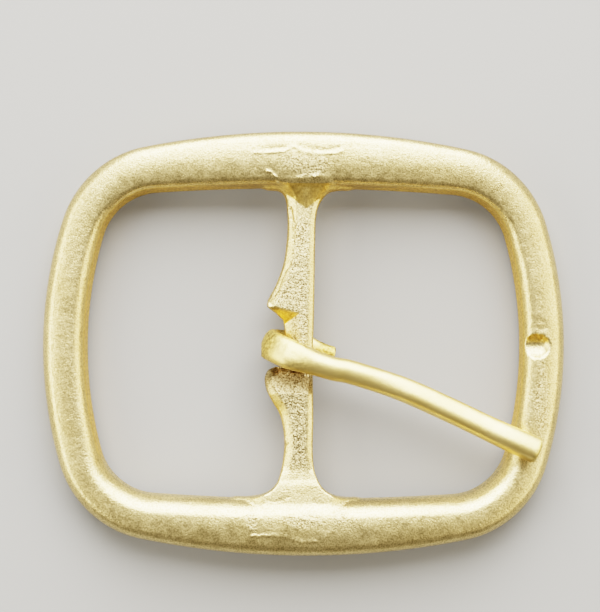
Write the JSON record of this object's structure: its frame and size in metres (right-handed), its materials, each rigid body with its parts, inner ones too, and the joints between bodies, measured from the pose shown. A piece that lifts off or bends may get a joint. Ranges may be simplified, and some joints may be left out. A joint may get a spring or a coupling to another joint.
{
  "type": "belt buckle",
  "caption": "Centre-bar belt buckle: a bowed, rounded cast brass frame with its bar cast in one, and a bent brass wire prong that swings on the notched bar.",
  "frame": {"origin": "under the middle of the buckle, on the surface that it lies on with its back down", "axes": "+Z out of the front face, +X across the buckle from the belt fold's end to the end where the prong's tip rests, +Y along the centre bar"},
  "size_m": [0.0676, 0.0542, 0.0096],
  "materials": {
    "cast_brass": "tumbled satin, with rough as-cast patches where the bar joins the rails",
    "wire_brass": "smooth satin drawn wire"
  },
  "bodies": {
    "frame": {"frame_casting": "cast_brass"},
    "prong": {"prong": "wire_brass"}
  },
  "joints": [
    {"name": "prong_swing", "type": "hinge", "parent": "frame", "child": "prong", "pos_m": [-0.00075, -0.0012, 0.00445], "axis": [-0.2588, -0.9659, 0], "range_deg": [0, 168]}
  ]
}
